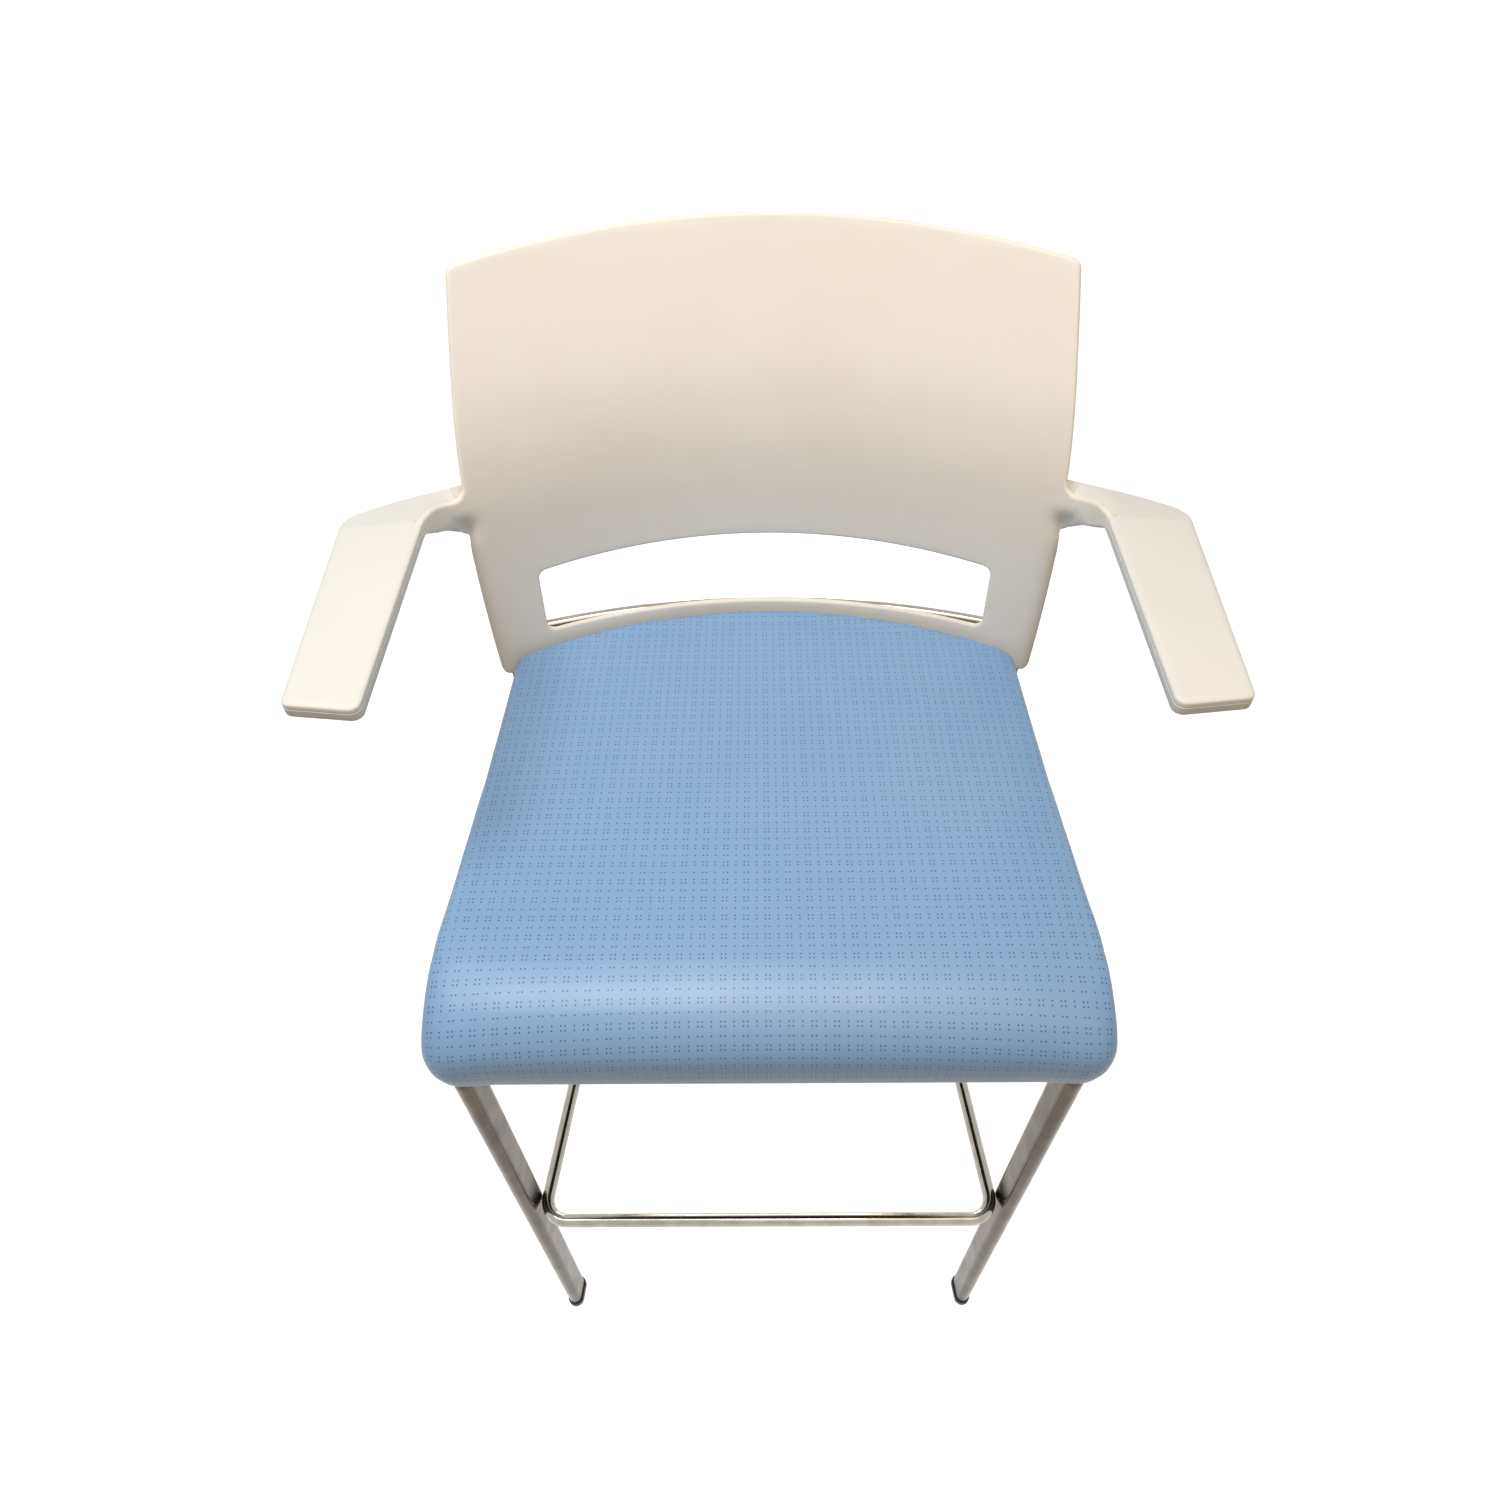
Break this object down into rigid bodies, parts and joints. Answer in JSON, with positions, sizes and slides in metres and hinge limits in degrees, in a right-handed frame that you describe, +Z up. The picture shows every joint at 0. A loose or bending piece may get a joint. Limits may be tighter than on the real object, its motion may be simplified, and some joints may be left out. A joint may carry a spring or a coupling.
{
  "type": "counter stool with arms",
  "caption": "Fixed-height counter stool with bent oval-tube legs, a foot ring, a padded seat and a reclining moulded back with arms.",
  "frame": {"origin": "floor level under the middle of the stool's box", "axes": "+Z up, +X to the right seen from the front, +Y from the seat's nose to the back; the sitter faces -Y"},
  "size_m": [0.65, 0.54, 1.0884],
  "materials": {
    "back_polypropylene": "moulded polypropylene, fine grain, warm off-white",
    "arm_cap_plastic": "moulded plastic, fine grain, off-white",
    "seat_vinyl": "perforated coated vinyl, light blue, soft sheen",
    "seat_foam": "cut polyurethane foam",
    "dust_cover_fabric": "black felt",
    "black_plastic": "moulded black nylon",
    "plated_steel": "bright nickel-chrome plate",
    "dark_steel": "dark grey powder coat",
    "zinc_steel": "zinc plated",
    "bush_rubber": "moulded rubber"
  },
  "bodies": {
    "frame": {"foot_ring": "plated_steel", "front_cross_tube": "plated_steel", "left_front_glide": "black_plastic", "left_front_seat_plate": "dark_steel", "left_pivot_bolt": "zinc_steel", "left_pivot_bracket": "plated_steel", "left_pivot_sleeve": "zinc_steel", "left_pivot_washer": "zinc_steel", "left_rear_glide": "black_plastic", "left_rear_seat_plate": "dark_steel", "left_side_frame": "plated_steel", "left_stop_pin": "zinc_steel", "rear_cross_tube": "plated_steel", "right_front_glide": "black_plastic", "right_front_seat_plate": "dark_steel", "right_pivot_bolt": "zinc_steel", "right_pivot_bracket": "plated_steel", "right_pivot_sleeve": "zinc_steel", "right_pivot_washer": "zinc_steel", "right_rear_glide": "black_plastic", "right_rear_seat_plate": "dark_steel", "right_side_frame": "plated_steel", "right_stop_pin": "zinc_steel", "seat_cover": "seat_vinyl", "seat_dust_cover": "dust_cover_fabric", "seat_foam": "seat_foam", "seat_pan": "black_plastic", "seat_screws": "zinc_steel", "seat_tee_nuts": "zinc_steel"},
    "back": {"arm_screws": "zinc_steel", "back_bar": "plated_steel", "back_screws": "zinc_steel", "back_shell": "back_polypropylene", "left_arm_cap": "arm_cap_plastic", "left_arm_core": "zinc_steel", "left_torsion_bush": "bush_rubber", "left_upright": "dark_steel", "right_arm_cap": "arm_cap_plastic", "right_arm_core": "zinc_steel", "right_torsion_bush": "bush_rubber", "right_upright": "dark_steel"}
  },
  "joints": [
    {"name": "back_recline", "type": "hinge", "parent": "frame", "child": "back", "pos_m": [0, 0.13103, 0.672], "axis": [-1, 0, 0], "range_deg": [0, 10], "stiffness_Nm_per_rad": 250, "springref_deg": -3.44}
  ]
}
